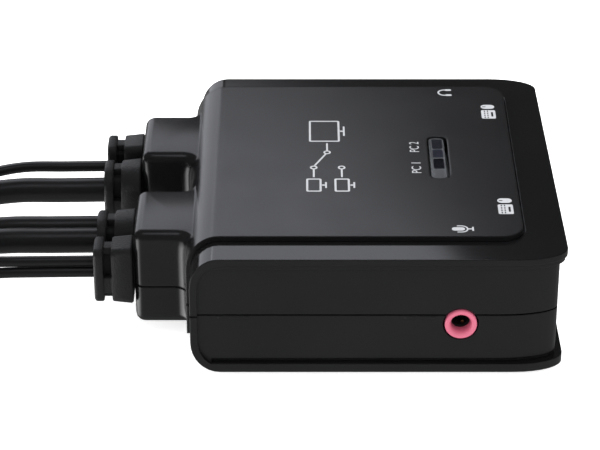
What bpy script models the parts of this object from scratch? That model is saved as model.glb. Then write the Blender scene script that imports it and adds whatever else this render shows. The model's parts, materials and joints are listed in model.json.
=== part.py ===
"""Two-port KVM switch with built-in cables.

The frame: +Z up, +X towards the console ports, -Y towards the microphone socket. The origin is under the
middle of the switch (its strain reliefs and rim included), on the surface that its rubber feet stand on.
Lengths are metres; MM turns millimetres into them.
"""

import math

import bmesh
import bpy
from mathutils import Vector

MM = 0.001
GAP = 0.3 * MM  # between pieces that touch

# Housing, as two glossy shells round one board
LEFT, RIM_FRONT_RIGHT, RIM_REAR_RIGHT = -25.95 * MM, 44.95 * MM, 44.05 * MM
RIM_HALF_DEPTH = 37.35 * MM
WALL_RIGHT, WALL_HALF_DEPTH, WALL = 43.5 * MM, 36.6 * MM, 1.8 * MM
FOOT_HEIGHT = 0.8 * MM
BOTTOM, FLANGE_TOP = FOOT_HEIGHT, FOOT_HEIGHT + 1.8 * MM
PARTING = 13.1 * MM
CEILING, SEAT, RIM_LOW, RIM_STEP, RIM_TOP = 23.4 * MM, 24.9 * MM, 23.2 * MM, 24.3 * MM, 25.6 * MM

# Matt saddle: panel on top, sheet down the left end, upper halves of the cable blocks
MIDDLE = 0.7 * MM  # Y of the middle of the saddle, a little behind the middle of the housing
PANEL_TOP, PANEL_UNDER, PANEL_RIGHT, PANEL_HALF_DEPTH = 26.6 * MM, 25.2 * MM, 37.0 * MM, 31.1 * MM
PANEL_FRONT, PANEL_REAR = MIDDLE - PANEL_HALF_DEPTH, MIDDLE + PANEL_HALF_DEPTH
SADDLE_LEFT, SADDLE_INNER, SADDLE_SEAT, SADDLE_FOOT = -26.9 * MM, -25.3 * MM, -25.0 * MM, 5.1 * MM
BLOCK_LEFT, BLOCK_LOW, BLOCK_TOP, BLOCK_PARTING = -37.1 * MM, 3.1 * MM, 23.4 * MM, 11.54 * MM
BLOCK_WALL, BLOCK_EDGE = 1.6 * MM, 1.8 * MM
BLOCKS = {"pc1": (MIDDLE - 24.6 * MM, MIDDLE - 6.8 * MM), "pc2": (MIDDLE + 6.8 * MM, MIDDLE + 24.6 * MM)}

# Board, and what stands on it
BOARD_LOW, BOARD_TOP, BOARD_LEFT, BOARD_RIGHT = 6.2 * MM, 7.8 * MM, -22.4 * MM, 40.3 * MM
SEATED = BOARD_TOP + GAP
SCREWS = [(x * MM, y * MM) for x in (-19.5, 36.5) for y in (-30.5, 30.5)]
FEET = [(x * MM, y * MM) for x in (-8.5, 25.5) for y in (-29.5, 29.5)]
JACK_X, JACK_Z, JACK_BORE = 25.1 * MM, 11.1 * MM, 1.8 * MM
USB_Y = 20 * MM
BUTTON_X, BUTTON_Y, BUTTON_WIDE, BUTTON_LONG = 22.1 * MM, 0.8 * MM, 3.0 * MM, 16.7 * MM
WINDOW_X, WINDOW_WIDE = 22.3 * MM, 4.0 * MM

# Strain reliefs: Y of the grip, its width, and Y of the neck inside the block wall
RELIEF_Z, RELIEF_LEFT = 13.5 * MM, -44.9 * MM
RELIEFS = {
    "pc1_audio": (-20.4 * MM, 7.0 * MM, -19.6 * MM),
    "pc1_main": (-9.5 * MM, 10.2 * MM, -11.0 * MM),
    "pc2_main": (11.2 * MM, 10.2 * MM, 12.4 * MM),
    "pc2_audio": (21.4 * MM, 7.0 * MM, 21.0 * MM),
}
NECK_WIDE, NECK_HIGH = 3.6 * MM, 8.6 * MM

# Cords, their hanks, and the plugs on them
VIDEO_D, USB_D, AUDIO_D = 5.0 * MM, 4.2 * MM, 2.1 * MM
HANK_Y, HANK_NEAR, HANK_FAR = 23.5 * MM, -124 * MM, -216 * MM
HANK_OUTSIDE, HANK_INSIDE, HANK_HIGH = 23.2 * MM, 8.4 * MM, 20.4 * MM


# ---------------------------------------------------------------- materials


def material(name, color, roughness, metallic=0.0):
    made = bpy.data.materials.new(name)
    made.use_nodes = True
    shader = made.node_tree.nodes["Principled BSDF"]
    shader.inputs["Base Color"].default_value = (*color, 1.0)
    shader.inputs["Roughness"].default_value = roughness
    shader.inputs["Metallic"].default_value = metallic
    return made


def make_materials():
    return {
        "gloss": material("gloss_black", (0.012, 0.012, 0.013), 0.15),
        "satin": material("satin_charcoal", (0.045, 0.045, 0.05), 0.5),
        "rubber": material("relief_rubber", (0.025, 0.025, 0.027), 0.75),
        "cord": material("cord_jacket", (0.012, 0.012, 0.014), 0.4),
        "board": material("board_green", (0.02, 0.12, 0.05), 0.5),
        "chip": material("chip_black", (0.02, 0.02, 0.022), 0.5),
        "steel": material("plated_steel", (0.75, 0.75, 0.74), 0.25, 1.0),
        "pink": material("socket_pink", (0.77, 0.18, 0.28), 0.4),
        "green": material("socket_green", (0.25, 0.62, 0.2), 0.4),
        "clear": material("smoked_clear", (0.16, 0.18, 0.21), 0.1),
        "light": material("lamp_white", (0.8, 0.85, 0.9), 0.3),
        "natural": material("header_white", (0.75, 0.73, 0.68), 0.5),
    }


# ------------------------------------------------------------ solid tools


def solid(name, points, faces, finish=None):
    """A mesh object from points and faces, with its faces turned outwards."""
    mesh = bpy.data.meshes.new(name)
    shape = bmesh.new()
    corners = [shape.verts.new(point) for point in points]
    for face in faces:
        shape.faces.new([corners[i] for i in face])
    bmesh.ops.recalc_face_normals(shape, faces=shape.faces)
    shape.to_mesh(mesh)
    shape.free()
    made = bpy.data.objects.new(name, mesh)
    bpy.context.scene.collection.objects.link(made)
    if finish:
        mesh.materials.append(finish)
        mesh.shade_smooth()
        mesh.set_sharp_from_angle(angle=math.radians(35))
    else:
        made.hide_render = True
        made.display_type = "WIRE"
    return made


def loft(name, rings, finish=None):
    """A solid through rings of equally many points, capped at both ends."""
    count, last = len(rings[0]), len(rings) - 1
    sides = [
        (r * count + i, r * count + (i + 1) % count, (r + 1) * count + (i + 1) % count, (r + 1) * count + i)
        for r in range(last)
        for i in range(count)
    ]
    caps = [tuple(range(count)), tuple(range(last * count, (last + 1) * count))]
    return solid(name, [point for ring in rings for point in ring], sides + caps, finish)


def on_axis(axis, u, v, w):
    """A point whose coordinate along the axis is w, and whose others are u and v in X, Y, Z order."""
    return {"X": (w, u, v), "Y": (u, w, v), "Z": (u, v, w)}[axis]


def prism(name, outline, low, high, axis="Z", finish=None):
    return loft(name, [[on_axis(axis, u, v, w) for u, v in outline] for w in (low, high)], finish)


def box(name, low, high, finish=None):
    outline = [(low[0], low[1]), (high[0], low[1]), (high[0], high[1]), (low[0], high[1])]
    return prism(name, outline, low[2], high[2], "Z", finish)


def around(centre, size):
    """Lowest and highest corner of a box, from its centre and size."""
    middle, half = Vector(centre), Vector(size) / 2
    return middle - half, middle + half


def pillow(name, low, high, radius, steps=4):
    """A box with round edges; low and high each end in a flag that says whether that end is rounded too."""
    (x0, y0, z0, round_low), (x1, y1, z1, round_high) = low, high
    turns = [math.pi / 2 * i / steps for i in range(steps + 1)]
    rolls = [(radius * (1 - math.sin(turn)), radius * (1 - math.cos(turn))) for turn in turns]
    levels = [(z0 + up, inset) for up, inset in reversed(rolls)] if round_low else [(z0, 0)]
    levels += [(z1 - down, inset) for down, inset in rolls] if round_high else [(z1, 0)]
    rings = []
    for z, inset in levels:
        size = x1 - x0 - 2 * inset, y1 - y0 - 2 * inset
        outline = rounded_box((x0 + x1) / 2, (y0 + y1) / 2, *size, radius * 1.05 - 0.9 * inset, steps)
        rings.append([(u, v, z) for u, v in outline])
    return loft(name, rings)


def circle(u, v, radius, count=24):
    angles = [2 * math.pi * i / count for i in range(count)]
    return [(u + radius * math.cos(a), v + radius * math.sin(a)) for a in angles]


def turned(name, centre, profile, axis, finish=None, count=24):
    """A solid of circles about an axis through centre; profile holds (place along the axis, radius)."""
    rings = [[on_axis(axis, u, v, w) for u, v in circle(*centre, radius, count)] for w, radius in profile]
    return loft(name, rings, finish)


def rounded(corners, steps=8):
    """An outline whose corners (u, v, setback before, setback after) are quarter ellipses."""
    points = []
    for i, (u, v, before, after) in enumerate(corners):
        here, last, following = Vector((u, v)), corners[i - 1], corners[(i + 1) % len(corners)]
        if not before:
            points.append(here)
            continue
        arriving = (here - Vector(last[:2])).normalized()
        leaving = (Vector(following[:2]) - here).normalized()
        start = here - before * arriving
        for step in range(steps + 1):
            turn = math.pi / 2 * step / steps
            points.append(start + before * math.sin(turn) * arriving + after * (1 - math.cos(turn)) * leaving)
    return [tuple(point) for point in points]


def rounded_box(u, v, wide, high, radius, steps=4):
    """An outline of a rectangle centred on (u, v), with equal round corners."""
    signs = ((-1, -1), (1, -1), (1, 1), (-1, 1))
    return rounded([(u + a * wide / 2, v + b * high / 2, radius, radius) for a, b in signs], steps)


def combine(target, operation, *others):
    for other in others:
        step = target.modifiers.new(other.name, "BOOLEAN")
        step.operation = operation
        step.solver = "EXACT"
        step.object = other


def cut(target, *others):
    combine(target, "DIFFERENCE", *others)


def join(target, *others):
    combine(target, "UNION", *others)


def keep_inside(target, *others):
    combine(target, "INTERSECT", *others)


# ---------------------------------------------------------------- housing


def wall_plan(inset):
    """Plan of the upright walls; their right corners are long ellipses."""
    left, right, half = LEFT + inset, WALL_RIGHT - inset, WALL_HALF_DEPTH - inset
    along, across = 11 * MM - inset, 3.6 * MM - inset
    tight = max(1.2 * MM - inset, 0.4 * MM)
    return rounded(
        [
            (left, -half, tight, tight),
            (right, -half, along, across),
            (right, half, across, along),
            (left, half, tight, tight),
        ]
    )


def rim_plan(inset=0.0):
    """Plan of the overhanging rim and of the flange: long soft right corners, a slight taper to the rear."""
    half, tight, along, across = RIM_HALF_DEPTH - inset, 0.4 * MM, 9.5 * MM, 4.5 * MM
    return rounded(
        [
            (LEFT, -half, tight, tight),
            (RIM_FRONT_RIGHT - inset, -half, along, across),
            (RIM_REAR_RIGHT - inset, half, across, along),
            (LEFT, half, tight, tight),
        ]
    )


def end_bands(prefix, low, high):
    """The raised borders that carry the rim round the left end and into the flange, front and rear."""
    made = []
    for side, name in ((-1, "front"), (1, "rear")):
        inner, outer = sorted((side * (WALL_HALF_DEPTH - 0.4 * MM), side * RIM_HALF_DEPTH))
        outline = end_profile(LEFT, BOTTOM, RIM_TOP, 5.5 * MM, 6.5 * MM, LEFT + 8 * MM)
        band = prism(f"{prefix}_{name}", outline, inner, outer, "Y")
        window = end_profile(LEFT + 1.4 * MM, BOTTOM + 1.2 * MM, RIM_TOP - 1.4 * MM, 4.5 * MM, 5.5 * MM)
        cut(band, prism(f"cut_{prefix}_{name}", window, inner - 1 * MM, outer + 1 * MM, "Y"))
        keep_inside(band, box(f"keep_{prefix}_{name}", (-40 * MM, -40 * MM, low), (40 * MM, 40 * MM, high)))
        made.append(band)
    return made


def end_profile(left, low, high, across, up, right=60 * MM):
    """Side profile (X, Z) whose left corners are round: across is their reach in X, up in Z."""
    return rounded([(left, low, up, across), (right, low, 0, 0), (right, high, 0, 0), (left, high, across, up)])


def wall_openings():
    """Cutters for what reaches through the walls; both shells share them."""
    made = []
    for side, name in ((-1, "mic"), (1, "headphone")):
        reach = (side * 33 * MM, side * 39 * MM)
        made.append(prism(f"cut_{name}_hole", circle(JACK_X, JACK_Z, 3.4 * MM), min(reach), max(reach), "Y"))
    ports = ((-USB_Y, 13.8 * MM, 5.7 * MM), (0, 15.7 * MM, 6.1 * MM), (USB_Y, 13.8 * MM, 5.7 * MM))
    for y, wide, high in ports:
        low, top = BOARD_TOP, SEATED + high + GAP
        outline = rounded_box(y, (low + top) / 2, wide, top - low, 0.6 * MM, 2)
        made.append(prism(f"cut_port_{round(y / MM)}", outline, 39 * MM, 46 * MM, "X"))
    for name, (low, high) in BLOCKS.items():
        corners = (-29 * MM, low + 2 * MM, 6.5 * MM), (-21 * MM, high - 2 * MM, 20.6 * MM)
        made.append(box(f"cut_cable_way_{name}", *corners))
    return made


def screw_tubes(prefix, low, high, radius):
    return [
        prism(f"{prefix}_{i}", circle(x, y, radius, 20), low, high)
        for i, (x, y) in enumerate(SCREWS)
    ]


def button_hole(prefix, low, high):
    outline = rounded_box(WINDOW_X, BUTTON_Y, WINDOW_WIDE, BUTTON_LONG + 2 * GAP, 1.5 * MM)
    return prism(prefix, outline, low, high)


def make_top_shell(finish, openings):
    """Glossy upper shell: walls, overhanging rim, seat for the panel, and a hollow boss over each screw."""
    shell = prism("top_shell", wall_plan(0), PARTING + GAP / 2, RIM_TOP - 1 * MM, "Z", finish)
    rim = prism("add_rim", rim_plan(), RIM_STEP, RIM_TOP)
    under_rim = prism("add_under_rim", rim_plan(0.35 * MM), RIM_LOW, RIM_STEP + 0.4 * MM)
    end = end_profile(LEFT, BOTTOM, RIM_TOP, 5.5 * MM, 6.5 * MM)
    profile = prism("keep_end", end, -40 * MM, 40 * MM, "Y")
    cavity = prism("cut_upper_cavity", wall_plan(WALL), PARTING - 1 * MM, CEILING)
    inner = end_profile(SADDLE_SEAT + WALL, BOTTOM, CEILING, 3.5 * MM, 4.5 * MM)
    keep_inside(cavity, prism("keep_cavity_end", inner, -40 * MM, 40 * MM, "Y"))
    join(shell, rim, under_rim, *end_bands("add_upper_band", PARTING + GAP / 2, RIM_TOP + 1 * MM))
    keep_inside(shell, profile)
    cut(shell, cavity, make_saddle_seat())
    join(shell, *screw_tubes("add_boss", SEATED, CEILING + 0.5 * MM, 3.0 * MM))
    cut(shell, *screw_tubes("cut_boss", BOARD_TOP, 20.5 * MM, 1.5 * MM))
    cut(shell, button_hole("cut_shell_window", CEILING - 1 * MM, RIM_TOP + 1 * MM), *openings)
    return shell


def make_saddle_seat():
    """What the shells lose so that the saddle lies in them: over the top, and down the left end."""
    corners = (-60 * MM, PANEL_FRONT - GAP, SADDLE_FOOT - GAP), (60 * MM, PANEL_REAR + GAP, 60 * MM)
    outside = box("cut_saddle_seat", *corners)
    core = end_profile(SADDLE_SEAT, -9 * MM, SEAT, 4.9 * MM, 5.9 * MM, 70 * MM)
    cut(outside, prism("cut_seat_core", core, -40 * MM, 40 * MM, "Y"))
    keep_inside(outside, prism("keep_seat_plan", panel_plan(GAP), -5 * MM, 70 * MM))
    return outside


def panel_plan(grown):
    """Plan of the panel, round at its right corners."""
    front, rear, right, left = PANEL_FRONT - grown, PANEL_REAR + grown, PANEL_RIGHT + grown, -70 * MM
    corner = 4.2 * MM + grown
    round_end = [(right, front, corner, corner), (right, rear, corner, corner)]
    return rounded([(left, front, 0, 0), *round_end, (left, rear, 0, 0)])


def make_bottom_shell(finish, openings):
    """Glossy lower shell: flange, walls, board posts, pockets for the feet and for the screw heads."""
    shell = prism("bottom_shell", wall_plan(0), BOTTOM + 0.5 * MM, PARTING - GAP / 2, "Z", finish)
    flange = prism("add_flange", rim_plan(), BOTTOM, FLANGE_TOP)
    end = end_profile(LEFT, BOTTOM, RIM_TOP, 5.5 * MM, 6.5 * MM)
    profile = prism("keep_lower_end", end, -40 * MM, 40 * MM, "Y")
    cavity = prism("cut_lower_cavity", wall_plan(WALL), FLANGE_TOP, PARTING + 1 * MM)
    corners = (SADDLE_SEAT + WALL, -40 * MM, 0), (50 * MM, 40 * MM, 20 * MM)
    keep_inside(cavity, box("keep_lower_cavity", *corners))
    join(shell, flange, *end_bands("add_lower_band", BOTTOM - 1 * MM, PARTING - GAP / 2))
    keep_inside(shell, profile)
    groove = prism("cut_groove", wall_plan(-3 * MM), FLANGE_TOP, FLANGE_TOP + 0.8 * MM)
    left_end = box("keep_left_of_groove", (-60 * MM, -50 * MM, 0), (-22 * MM, 50 * MM, 9 * MM))
    cut(groove, prism("keep_in_groove", wall_plan(0.6 * MM), 0, 9 * MM), left_end)
    cut(shell, cavity, groove, *make_lower_seats())
    join(shell, *screw_tubes("add_post", FLANGE_TOP - 0.5 * MM, BOARD_LOW - GAP, 3.4 * MM))
    cut(shell, *screw_tubes("cut_head_pocket", BOTTOM - 1 * MM, 3.3 * MM, 2.6 * MM))
    cut(shell, *screw_tubes("cut_post", BOTTOM - 1 * MM, BOARD_LOW + 1 * MM, 1.5 * MM))
    for i, (x, y) in enumerate(FEET):
        cut(shell, prism(f"cut_foot_pocket_{i}", circle(x, y, 4.3 * MM), 0, BOTTOM + 0.7 * MM))
    cut(shell, *openings)
    return shell


def make_lower_seats():
    """What the lower shell loses for the clamp: its sheet, and the feet of the two blocks."""
    stretches = {"sheet": (PANEL_FRONT, PANEL_REAR, SADDLE_FOOT)}
    stretches |= {name: (low, high, BLOCK_LOW) for name, (low, high) in BLOCKS.items()}
    return [
        box(f"cut_seat_{name}", (-40 * MM, front - GAP, foot - GAP), (SADDLE_SEAT, rear + GAP, 30 * MM))
        for name, (front, rear, foot) in stretches.items()
    ]


# ------------------------------------------------- saddle and cable blocks


def block_shapes(prefix, low, high):
    """The two cable blocks below or above their parting, and what is hollow in them."""
    blocks, hollows = [], []
    for name, (front, rear) in BLOCKS.items():
        ends = (BLOCK_LEFT, front, low, low == BLOCK_LOW), (-18 * MM, rear, high, high == BLOCK_TOP)
        blocks.append(pillow(f"add_{prefix}_block_{name}", *ends, BLOCK_EDGE))
        hollow_low = max(low - 1 * MM, BLOCK_LOW + BLOCK_WALL)
        hollow_high = min(high + 1 * MM, BLOCK_TOP - BLOCK_WALL)
        corner = (BLOCK_LEFT + BLOCK_WALL, front + BLOCK_WALL, hollow_low)
        hollow = box(f"cut_{prefix}_hollow_{name}", corner, (-17 * MM, rear - BLOCK_WALL, hollow_high))
        hollows.append(hollow)
    for name, (_, _, neck) in RELIEFS.items():
        size = (4 * MM, NECK_WIDE + 2 * GAP, NECK_HIGH + 2 * GAP)
        hollows.append(box(f"cut_{prefix}_{name}", *around((BLOCK_LEFT, neck, RELIEF_Z), size)))
    return blocks, hollows


def saddle_face(z):
    """X of the outside of the saddle's left end at a height."""
    across, up = 6.5 * MM, 7.5 * MM
    lift = max(0.0, z - (PANEL_TOP - up)) / up
    return SADDLE_LEFT + across * (1 - math.sqrt(max(0.0, 1 - lift * lift)))


def block_fillets(prefix, low, high):
    """Concave corners between the blocks' sides and the saddle's left end."""
    made, radius, edge = [], 2.6 * MM, BLOCK_EDGE
    rounding = [BLOCK_TOP - edge * (1 - math.sin(math.pi / 8 * step)) for step in range(4)]
    levels = [low, high]
    if high == BLOCK_TOP:
        levels = [low, PANEL_TOP - 7.5 * MM, 20.4 * MM, *rounding, BLOCK_TOP - 0.03 * MM]
    for name, sides in BLOCKS.items():
        for outwards, side in zip((-1, 1), sides):
            rings = []
            for z in levels:
                rise = max(0.0, z - (BLOCK_TOP - edge)) / edge
                y = side - outwards * edge * (1 - math.sqrt(max(0.0, 1 - rise * rise)))
                face = saddle_face(z)
                arc = [
                    (face - radius + radius * math.sin(turn), y + outwards * radius * (1 - math.cos(turn)), z)
                    for turn in (math.pi / 16 * step for step in range(9))
                ]
                inside_x, inside_y = face + 0.8 * MM, y - outwards * 0.6 * MM
                back = [(inside_x, y + outwards * radius, z), (inside_x, inside_y, z), (face - radius, inside_y, z)]
                rings.append(arc + back)
            made.append(loft(f"{prefix}_{name}_{'rear' if outwards > 0 else 'front'}", rings))
    return made


def make_top_panel(finish):
    """Matt saddle: panel, round left end, and the upper halves of the two cable blocks, in one moulding."""
    low = BLOCK_PARTING + GAP / 2
    square = [(SADDLE_LEFT, low, 0, 0), (60 * MM, low, 0, 0), (60 * MM, PANEL_TOP, 0, 0)]
    outline = rounded([*square, (SADDLE_LEFT, PANEL_TOP, 6.5 * MM, 7.5 * MM)], 12)
    saddle = prism("top_panel", outline, PANEL_FRONT, PANEL_REAR, "Y", finish)
    keep_inside(saddle, prism("keep_panel_plan", panel_plan(0), -5 * MM, 60 * MM))
    blocks, hollows = block_shapes("upper", low, BLOCK_TOP)
    join(saddle, *blocks, *block_fillets("add_upper_fillet", low, BLOCK_TOP))
    inner = end_profile(SADDLE_INNER, -9 * MM, PANEL_UNDER, 5.0 * MM, 6.0 * MM, 70 * MM)
    cut(saddle, prism("cut_under_panel", inner, -40 * MM, 40 * MM, "Y"), *hollows)
    cut(saddle, button_hole("cut_panel_window", PANEL_UNDER - 1 * MM, PANEL_TOP + 1 * MM))
    return saddle


def make_cable_clamp(finish):
    """Lower halves of the cable blocks, on one sheet that closes the left end."""
    high = BLOCK_PARTING - GAP / 2
    corners = (SADDLE_LEFT, PANEL_FRONT, SADDLE_FOOT), (SADDLE_INNER, PANEL_REAR, high)
    clamp = box("cable_clamp", *corners, finish)
    blocks, hollows = block_shapes("lower", BLOCK_LOW, high)
    join(clamp, *blocks, *block_fillets("add_lower_fillet", SADDLE_FOOT, high))
    trim = box("cut_behind_clamp", (SADDLE_INNER, -40 * MM, 0), (0, 40 * MM, 20 * MM))
    cut(clamp, trim, *hollows)
    return clamp


def make_strain_relief(name, grip_y, wide, neck_y, finish):
    """Rubber relief: thin outer flange, slot, flared grip, then a neck that two collars hold in the block wall."""
    high = 11.4 * MM
    wall_inside = BLOCK_LEFT + BLOCK_WALL
    stations = [  # X, Y, width, height
        (RELIEF_LEFT, grip_y, wide - 0.4 * MM, high - 0.4 * MM),
        (RELIEF_LEFT + 0.3 * MM, grip_y, wide, high),
        (RELIEF_LEFT + 1.8 * MM, grip_y, wide, high),
        (RELIEF_LEFT + 1.8 * MM, grip_y, wide - 2.2 * MM, high - 2.6 * MM),
        (RELIEF_LEFT + 3.35 * MM, grip_y, wide - 2.2 * MM, high - 2.6 * MM),
        (RELIEF_LEFT + 3.35 * MM, grip_y, wide, high),
        (BLOCK_LEFT - GAP, grip_y, wide + 0.2 * MM, high + 0.9 * MM),
        (BLOCK_LEFT - GAP, neck_y, NECK_WIDE, NECK_HIGH),
        (wall_inside + GAP, neck_y, NECK_WIDE, NECK_HIGH),
        (wall_inside + GAP, neck_y, NECK_WIDE + 0.9 * MM, NECK_HIGH + 2.4 * MM),
        (wall_inside + 2 * MM, neck_y, NECK_WIDE + 0.9 * MM, NECK_HIGH + 2.4 * MM),
    ]
    corner = 0.42 if wide > 8 * MM else 0.17
    rings = [
        [on_axis("X", u, v, x) for u, v in rounded_box(y, RELIEF_Z, across, tall, corner * across, 3)]
        for x, y, across, tall in stations
    ]
    return loft(f"strain_relief_{name}", rings, finish)


# ------------------------------------------------------- board and sockets


def make_board(finish):
    half, chamfer = 33.8 * MM, 7 * MM
    outline = [
        (BOARD_LEFT, -half),
        (BOARD_RIGHT - chamfer, -half),
        (BOARD_RIGHT, chamfer - half),
        (BOARD_RIGHT, half - chamfer),
        (BOARD_RIGHT - chamfer, half),
        (BOARD_LEFT, half),
    ]
    board = prism("main_board", outline, BOARD_LOW, BOARD_TOP, "Z", finish)
    cut(board, *screw_tubes("cut_board", BOARD_LOW - 1 * MM, BOARD_TOP + 1 * MM, 1.6 * MM))
    return board


def make_jack(name, side, body_finish, ring_finish):
    """3.5 mm socket: a body on the board, and a coloured ring that shows in the round hole of the wall."""
    inside, outside, proud = 22.3 * MM, 34.3 * MM, 37.0 * MM
    low, high = sorted((side * inside, side * outside))
    corners = (JACK_X - 3 * MM, low, SEATED), (JACK_X + 3 * MM, high, 14.1 * MM)
    body = box(f"{name}_jack_body", *corners, body_finish)
    reach = sorted((side * (inside + 1.2 * MM), side * (outside + 1 * MM)))
    cut(body, prism(f"cut_{name}_bore", circle(JACK_X, JACK_Z, JACK_BORE, 16), *reach, "Y"))
    places = (outside + GAP, outside + 1.3 * MM, outside + 1.3 * MM, proud - 0.2 * MM, proud)
    radii = (2.9 * MM, 2.9 * MM, 3.05 * MM, 3.05 * MM, 2.85 * MM)
    profile = [(side * w, r) for w, r in zip(places, radii)]
    ring = turned(f"{name}_jack_ring", (JACK_X, JACK_Z), profile, "Y", ring_finish)
    bore = [(33 * MM, JACK_BORE), (proud - 0.5 * MM, JACK_BORE), (proud + 0.3 * MM, JACK_BORE + 0.8 * MM)]
    bore = [(side * w, r) for w, r in bore]
    cut(ring, turned(f"cut_{name}_ring", (JACK_X, JACK_Z), bore, "Y"))
    return body, ring


def make_socket(name, y, outer, tongue, finish, insert_finish):
    """A plated shell open to the right, with an insert that holds the contact tongue."""
    wide, high = outer
    left, mouth, sheet = 29.5 * MM, 43.2 * MM, 0.35 * MM
    middle = SEATED + high / 2
    outline = rounded_box(y, middle, wide, high, 0.5 * MM, 2)
    shell = prism(f"{name}_socket_shell", outline, left, mouth, "X", finish)
    inner = rounded_box(y, middle, wide - 2 * sheet, high - 2 * sheet, 0.3 * MM, 2)
    cut(shell, prism(f"cut_{name}_mouth", inner, left + sheet, mouth + 1 * MM, "X"))
    base_size = (3 * MM, wide - 2 * sheet - 2 * GAP, high - 2 * sheet - 2 * GAP)
    base_centre = (left + sheet + GAP + 1.5 * MM, y, middle)
    insert = box(f"{name}_socket_tongue", *around(base_centre, base_size), insert_finish)
    tongue_wide, tongue_high, rise = tongue
    start, end = left + 2 * MM, mouth - 1.2 * MM
    centre = ((start + end) / 2, y, middle + rise)
    join(insert, box(f"add_{name}_tongue", *around(centre, (end - start, tongue_wide, tongue_high))))
    return shell, insert


def make_chips(chip, steel, natural):
    box("video_switch_chip", *around((0, 0, SEATED + 0.5 * MM), (12 * MM, 12 * MM, 1 * MM)), chip)
    box("usb_hub_chip", *around((10 * MM, 21 * MM, SEATED + 0.45 * MM), (7 * MM, 7 * MM, 0.9 * MM)), chip)
    box("audio_chip", *around((10 * MM, -23 * MM, SEATED + 0.4 * MM), (5 * MM, 5 * MM, 0.8 * MM)), chip)
    crystal = rounded_box(-2 * MM, 22 * MM, 10 * MM, 4 * MM, 1.9 * MM, 4)
    prism("crystal", crystal, SEATED, SEATED + 3.2 * MM, "Z", steel)
    for side, name in ((-1, "pc1"), (1, "pc2")):
        centre = (-15 * MM, side * 15.5 * MM, SEATED + 2.5 * MM)
        box(f"cable_header_{name}", *around(centre, (6 * MM, 13 * MM, 5 * MM)), natural)


# ------------------------------------------------------------ select button


def make_button(clear, chip, light):
    """A clear cap with two light guides and a post, over a push switch and two lamps on the board."""
    legs_y = (BUTTON_Y - 5 * MM, BUTTON_Y + 5 * MM)
    cap_low, cap_top = 22.0 * MM, 26.4 * MM
    outline = rounded_box(BUTTON_X, BUTTON_Y, BUTTON_WIDE, BUTTON_LONG, 1.2 * MM)
    cap = prism("select_button", outline, cap_low, cap_top, "Z", clear)
    flange = around((BUTTON_X, BUTTON_Y, 22.5 * MM), (5.6 * MM, 19 * MM, 1.2 * MM))
    join(cap, box("add_button_flange", *flange))
    for i, y in enumerate(legs_y):
        join(cap, box(f"add_light_guide_{i}", *around((BUTTON_X, y, 16.1 * MM), (2.4 * MM, 3 * MM, 12.4 * MM))))
    join(cap, prism("add_button_post", circle(BUTTON_X, BUTTON_Y, 1.4 * MM, 16), 15.4 * MM, 22.3 * MM))
    centre = (BUTTON_X, BUTTON_Y, SEATED + 1.75 * MM)
    body = box("switch_body", *around(centre, (6 * MM, 6 * MM, 3.5 * MM)), chip)
    well = circle(BUTTON_X, BUTTON_Y, 2.0 * MM, 16)
    cut(body, prism("cut_switch_well", well, SEATED + 0.8 * MM, SEATED + 5 * MM))
    profile = [(9.8 * MM, 1.65 * MM), (14.9 * MM, 1.65 * MM), (15.1 * MM, 1.45 * MM)]
    turned("switch_plunger", (BUTTON_X, BUTTON_Y), profile, "Z", chip, 16)
    for name, y in zip(("pc1", "pc2"), legs_y):
        box(f"lamp_{name}", *around((BUTTON_X, y, SEATED + 0.4 * MM), (2 * MM, 1.25 * MM, 0.8 * MM)), light)


# --------------------------------------------------------- screws and feet


def make_screws(finish):
    """Pan-head screws up through posts and board into the bosses, with a cross recess in each head."""
    head_low, head_top, tip = BOTTOM + 0.7 * MM, BOTTOM + 2.1 * MM, 20.0 * MM
    head = [(head_low, 1.7 * MM), (head_low + 0.4 * MM, 2.3 * MM), (head_top, 2.3 * MM)]
    profile = [*head, (head_top, 1.2 * MM), (tip - 1 * MM, 1.2 * MM), (tip, 0.6 * MM)]
    for i, (x, y) in enumerate(SCREWS):
        screw = turned(f"screw_{i + 1}", (x, y), profile, "Z", finish, 12)
        for turn, size in (("a", (2.8 * MM, 0.7 * MM)), ("b", (0.7 * MM, 2.8 * MM))):
            cut(screw, box(f"cut_recess_{i}_{turn}", *around((x, y, head_low), (*size, 1.4 * MM))))


def make_feet(finish):
    for i, (x, y) in enumerate(FEET):
        profile = [(0, 3.6 * MM), (0.3 * MM, 4.0 * MM), (BOTTOM + 0.4 * MM, 4.0 * MM)]
        turned(f"foot_{i + 1}", (x, y), profile, "Z", finish, 20)


# ------------------------------------------------------------------- cords

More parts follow.
